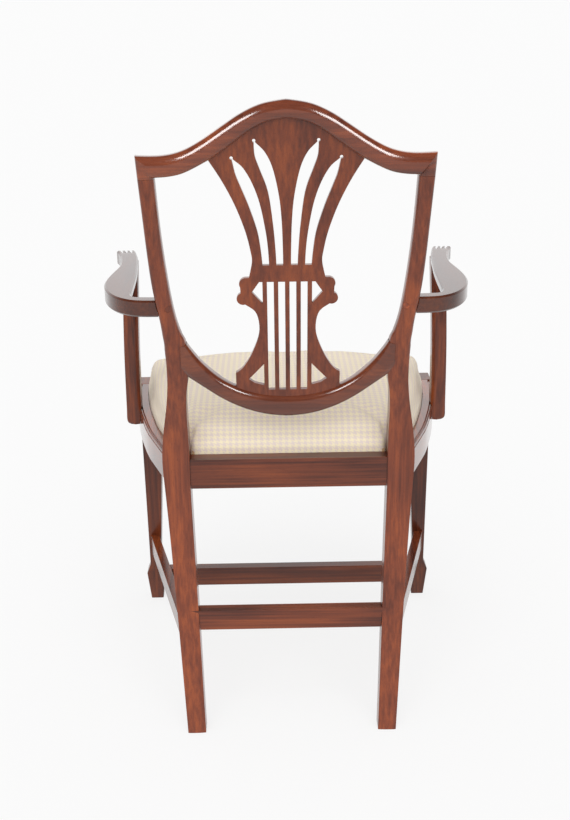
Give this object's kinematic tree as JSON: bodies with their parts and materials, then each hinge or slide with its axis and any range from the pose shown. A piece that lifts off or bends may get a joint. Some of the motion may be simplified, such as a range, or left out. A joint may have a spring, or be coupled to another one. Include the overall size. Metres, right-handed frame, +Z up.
{
  "type": "shield back armchair",
  "caption": "Mahogany armchair with a shield-shaped pierced back, curved arms, square tapered legs on spade feet, stretchers and a padded drop-in seat.",
  "frame": {"origin": "middle of the chair's box, on the floor", "axes": "+Z up, the chair faces -Y, +X is the sitter's left"},
  "size_m": [0.5568, 0.5512, 0.988],
  "materials": {
    "mahogany": "French-polished mahogany, satin to glossy, red-brown with darker streaks",
    "pellet_wood": "polished wooden pellet, a little redder than the post",
    "beech": "bare beech",
    "seat_frame_wood": "bare beech",
    "screw_steel": "plain steel wood screw",
    "webbing": "woven jute webbing",
    "hessian": "open woven hessian",
    "stuffing": "curled hair under wadding",
    "seat_cover": "woven houndstooth in cream and beige-grey",
    "under_cloth": "thin black lining cloth"
  },
  "bodies": {
    "chair_frame": {"rear_post_left": "mahogany", "rear_post_right": "mahogany", "crest_rail": "mahogany", "shield_lower_rail": "mahogany", "splat": "mahogany", "rear_seat_rail": "mahogany", "side_seat_rail_left": "mahogany", "side_seat_rail_right": "mahogany", "front_seat_rail": "mahogany", "front_leg_left": "mahogany", "front_leg_right": "mahogany", "side_stretcher_left": "mahogany", "side_stretcher_right": "mahogany", "cross_stretcher": "mahogany", "rear_stretcher": "mahogany", "arm_left": "mahogany", "arm_right": "mahogany", "arm_support_left": "mahogany", "arm_support_right": "mahogany", "corner_block_front_left": "beech", "corner_block_front_right": "beech", "corner_block_rear_left": "beech", "corner_block_rear_right": "beech", "block_screw_front_1_left": "screw_steel", "block_screw_front_1_right": "screw_steel", "block_screw_front_2_left": "screw_steel", "block_screw_front_2_right": "screw_steel", "block_screw_rear_1_left": "screw_steel", "block_screw_rear_1_right": "screw_steel", "block_screw_rear_2_left": "screw_steel", "block_screw_rear_2_right": "screw_steel", "arm_support_screw_1_left": "screw_steel", "arm_support_screw_1_right": "screw_steel", "arm_support_screw_2_left": "screw_steel", "arm_support_screw_2_right": "screw_steel", "arm_screw_left": "screw_steel", "arm_screw_right": "screw_steel", "arm_screw_pellet_left": "pellet_wood", "arm_screw_pellet_right": "pellet_wood"},
    "drop_in_seat": {"seat_frame_rear": "seat_frame_wood", "seat_frame_front": "seat_frame_wood", "seat_frame_side_left": "seat_frame_wood", "seat_frame_side_right": "seat_frame_wood", "webbing_long_1": "webbing", "webbing_long_2": "webbing", "webbing_long_3": "webbing", "webbing_across_1": "webbing", "webbing_across_2": "webbing", "webbing_across_3": "webbing", "hessian": "hessian", "stuffing": "stuffing", "seat_cover": "seat_cover", "under_cloth": "under_cloth"}
  },
  "joints": [
    {"name": "seat_lift", "type": "slide", "parent": "chair_frame", "child": "drop_in_seat", "axis": [0, 0, 1], "range_m": [0, 0.06]}
  ]
}
